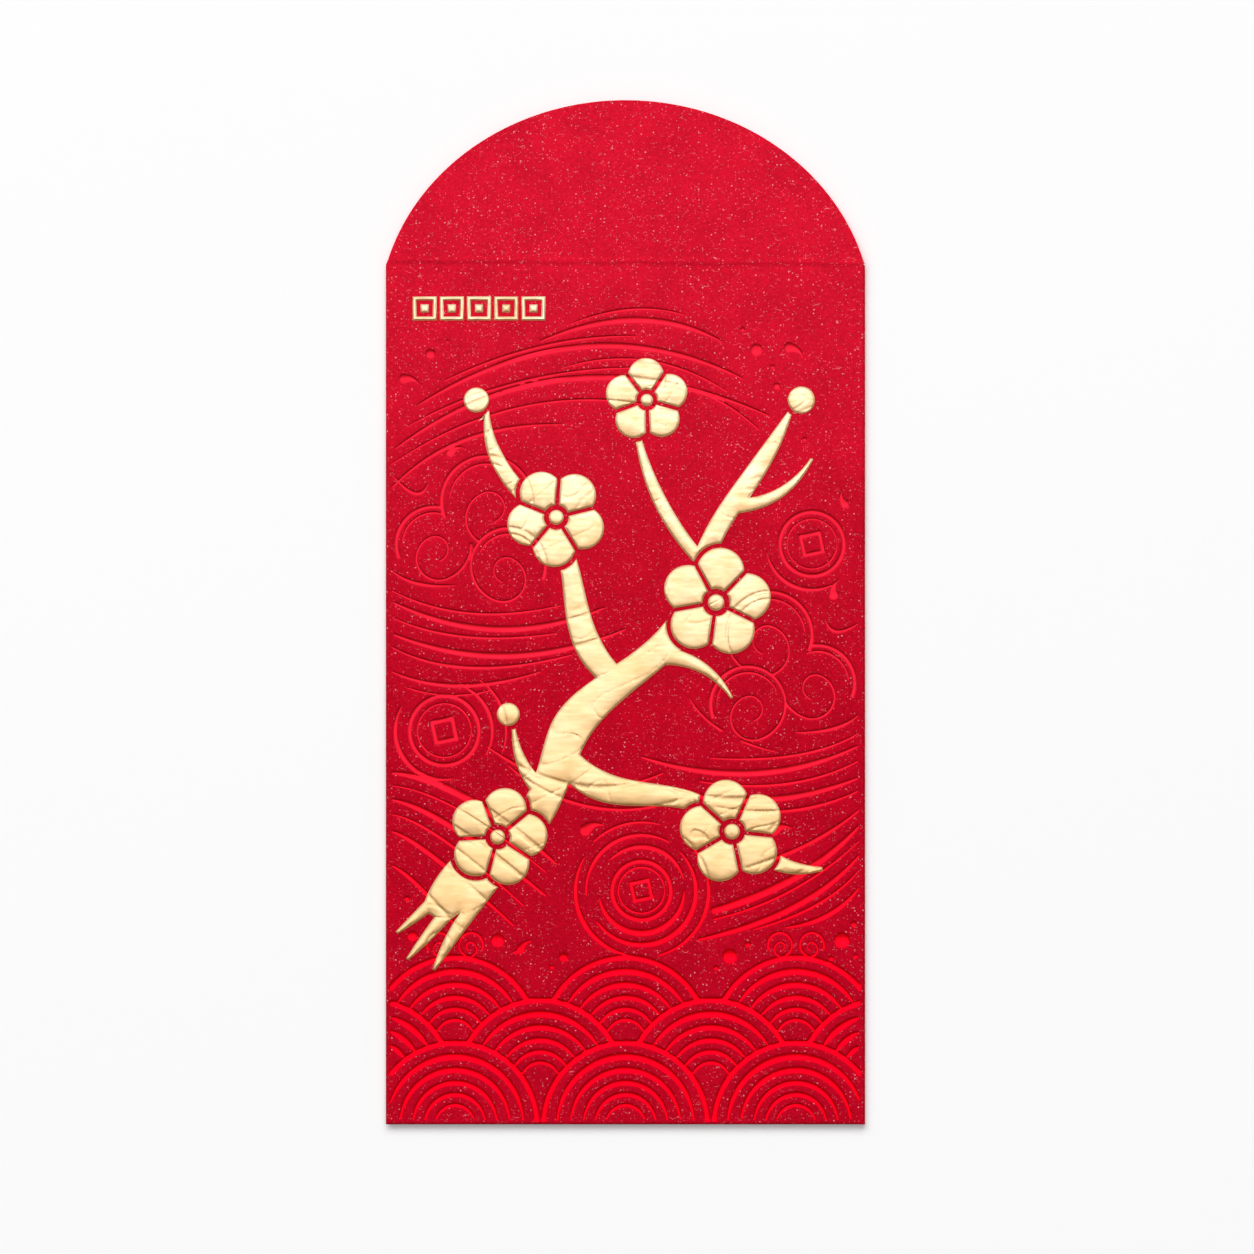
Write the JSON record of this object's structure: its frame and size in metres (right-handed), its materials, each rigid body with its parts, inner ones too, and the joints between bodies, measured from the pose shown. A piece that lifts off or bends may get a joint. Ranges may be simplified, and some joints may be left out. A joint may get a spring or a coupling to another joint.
{
  "type": "red gift envelope",
  "caption": "Tall red card envelope for a gift of money, with a round flap on a scored crease, side and bottom glue tabs, and lines of red foil and raised gold foil stamped on its front.",
  "frame": {"origin": "centre of the back panel's area between the pocket's edges, on its outer face, which the envelope lies on", "axes": "+Z out of the front, +Y along the height towards the open flap, +X to the right as the front is seen"},
  "size_m": [0.09, 0.1923, 0.0017],
  "materials": {
    "red_card": "pearlescent red card with fine pale specks",
    "red_foil": "glossy red foil stamped into the card",
    "gold_foil": "pale gold metallic stamped foil on raised card",
    "glue": "dried clear glue film"
  },
  "bodies": {
    "pocket": {"back_panel": "red_card", "bottom_fold": "red_card", "bottom_glue_tab": "red_card", "bottom_seam_glue": "glue", "flap_crease": "red_card", "front_panel": "red_card", "gold_blossoms": "gold_foil", "gold_branch": "gold_foil", "gold_buds": "gold_foil", "gold_fret_strip": "gold_foil", "left_fold": "red_card", "red_cloud_left": "red_foil", "red_cloud_right": "red_foil", "red_coins": "red_foil", "red_sea_waves": "red_foil", "red_wind_streams": "red_foil", "side_glue_tab": "red_card", "side_seam_glue": "glue", "spine_fold": "red_card"},
    "flap": {"flap": "red_card"}
  },
  "joints": [
    {"name": "flap_fold", "type": "hinge", "parent": "pocket", "child": "flap", "pos_m": [0, 0.081, 0.00045], "axis": [-1, 0, 0], "range_deg": [-15, 180], "deforming": ["flap_crease"]}
  ]
}
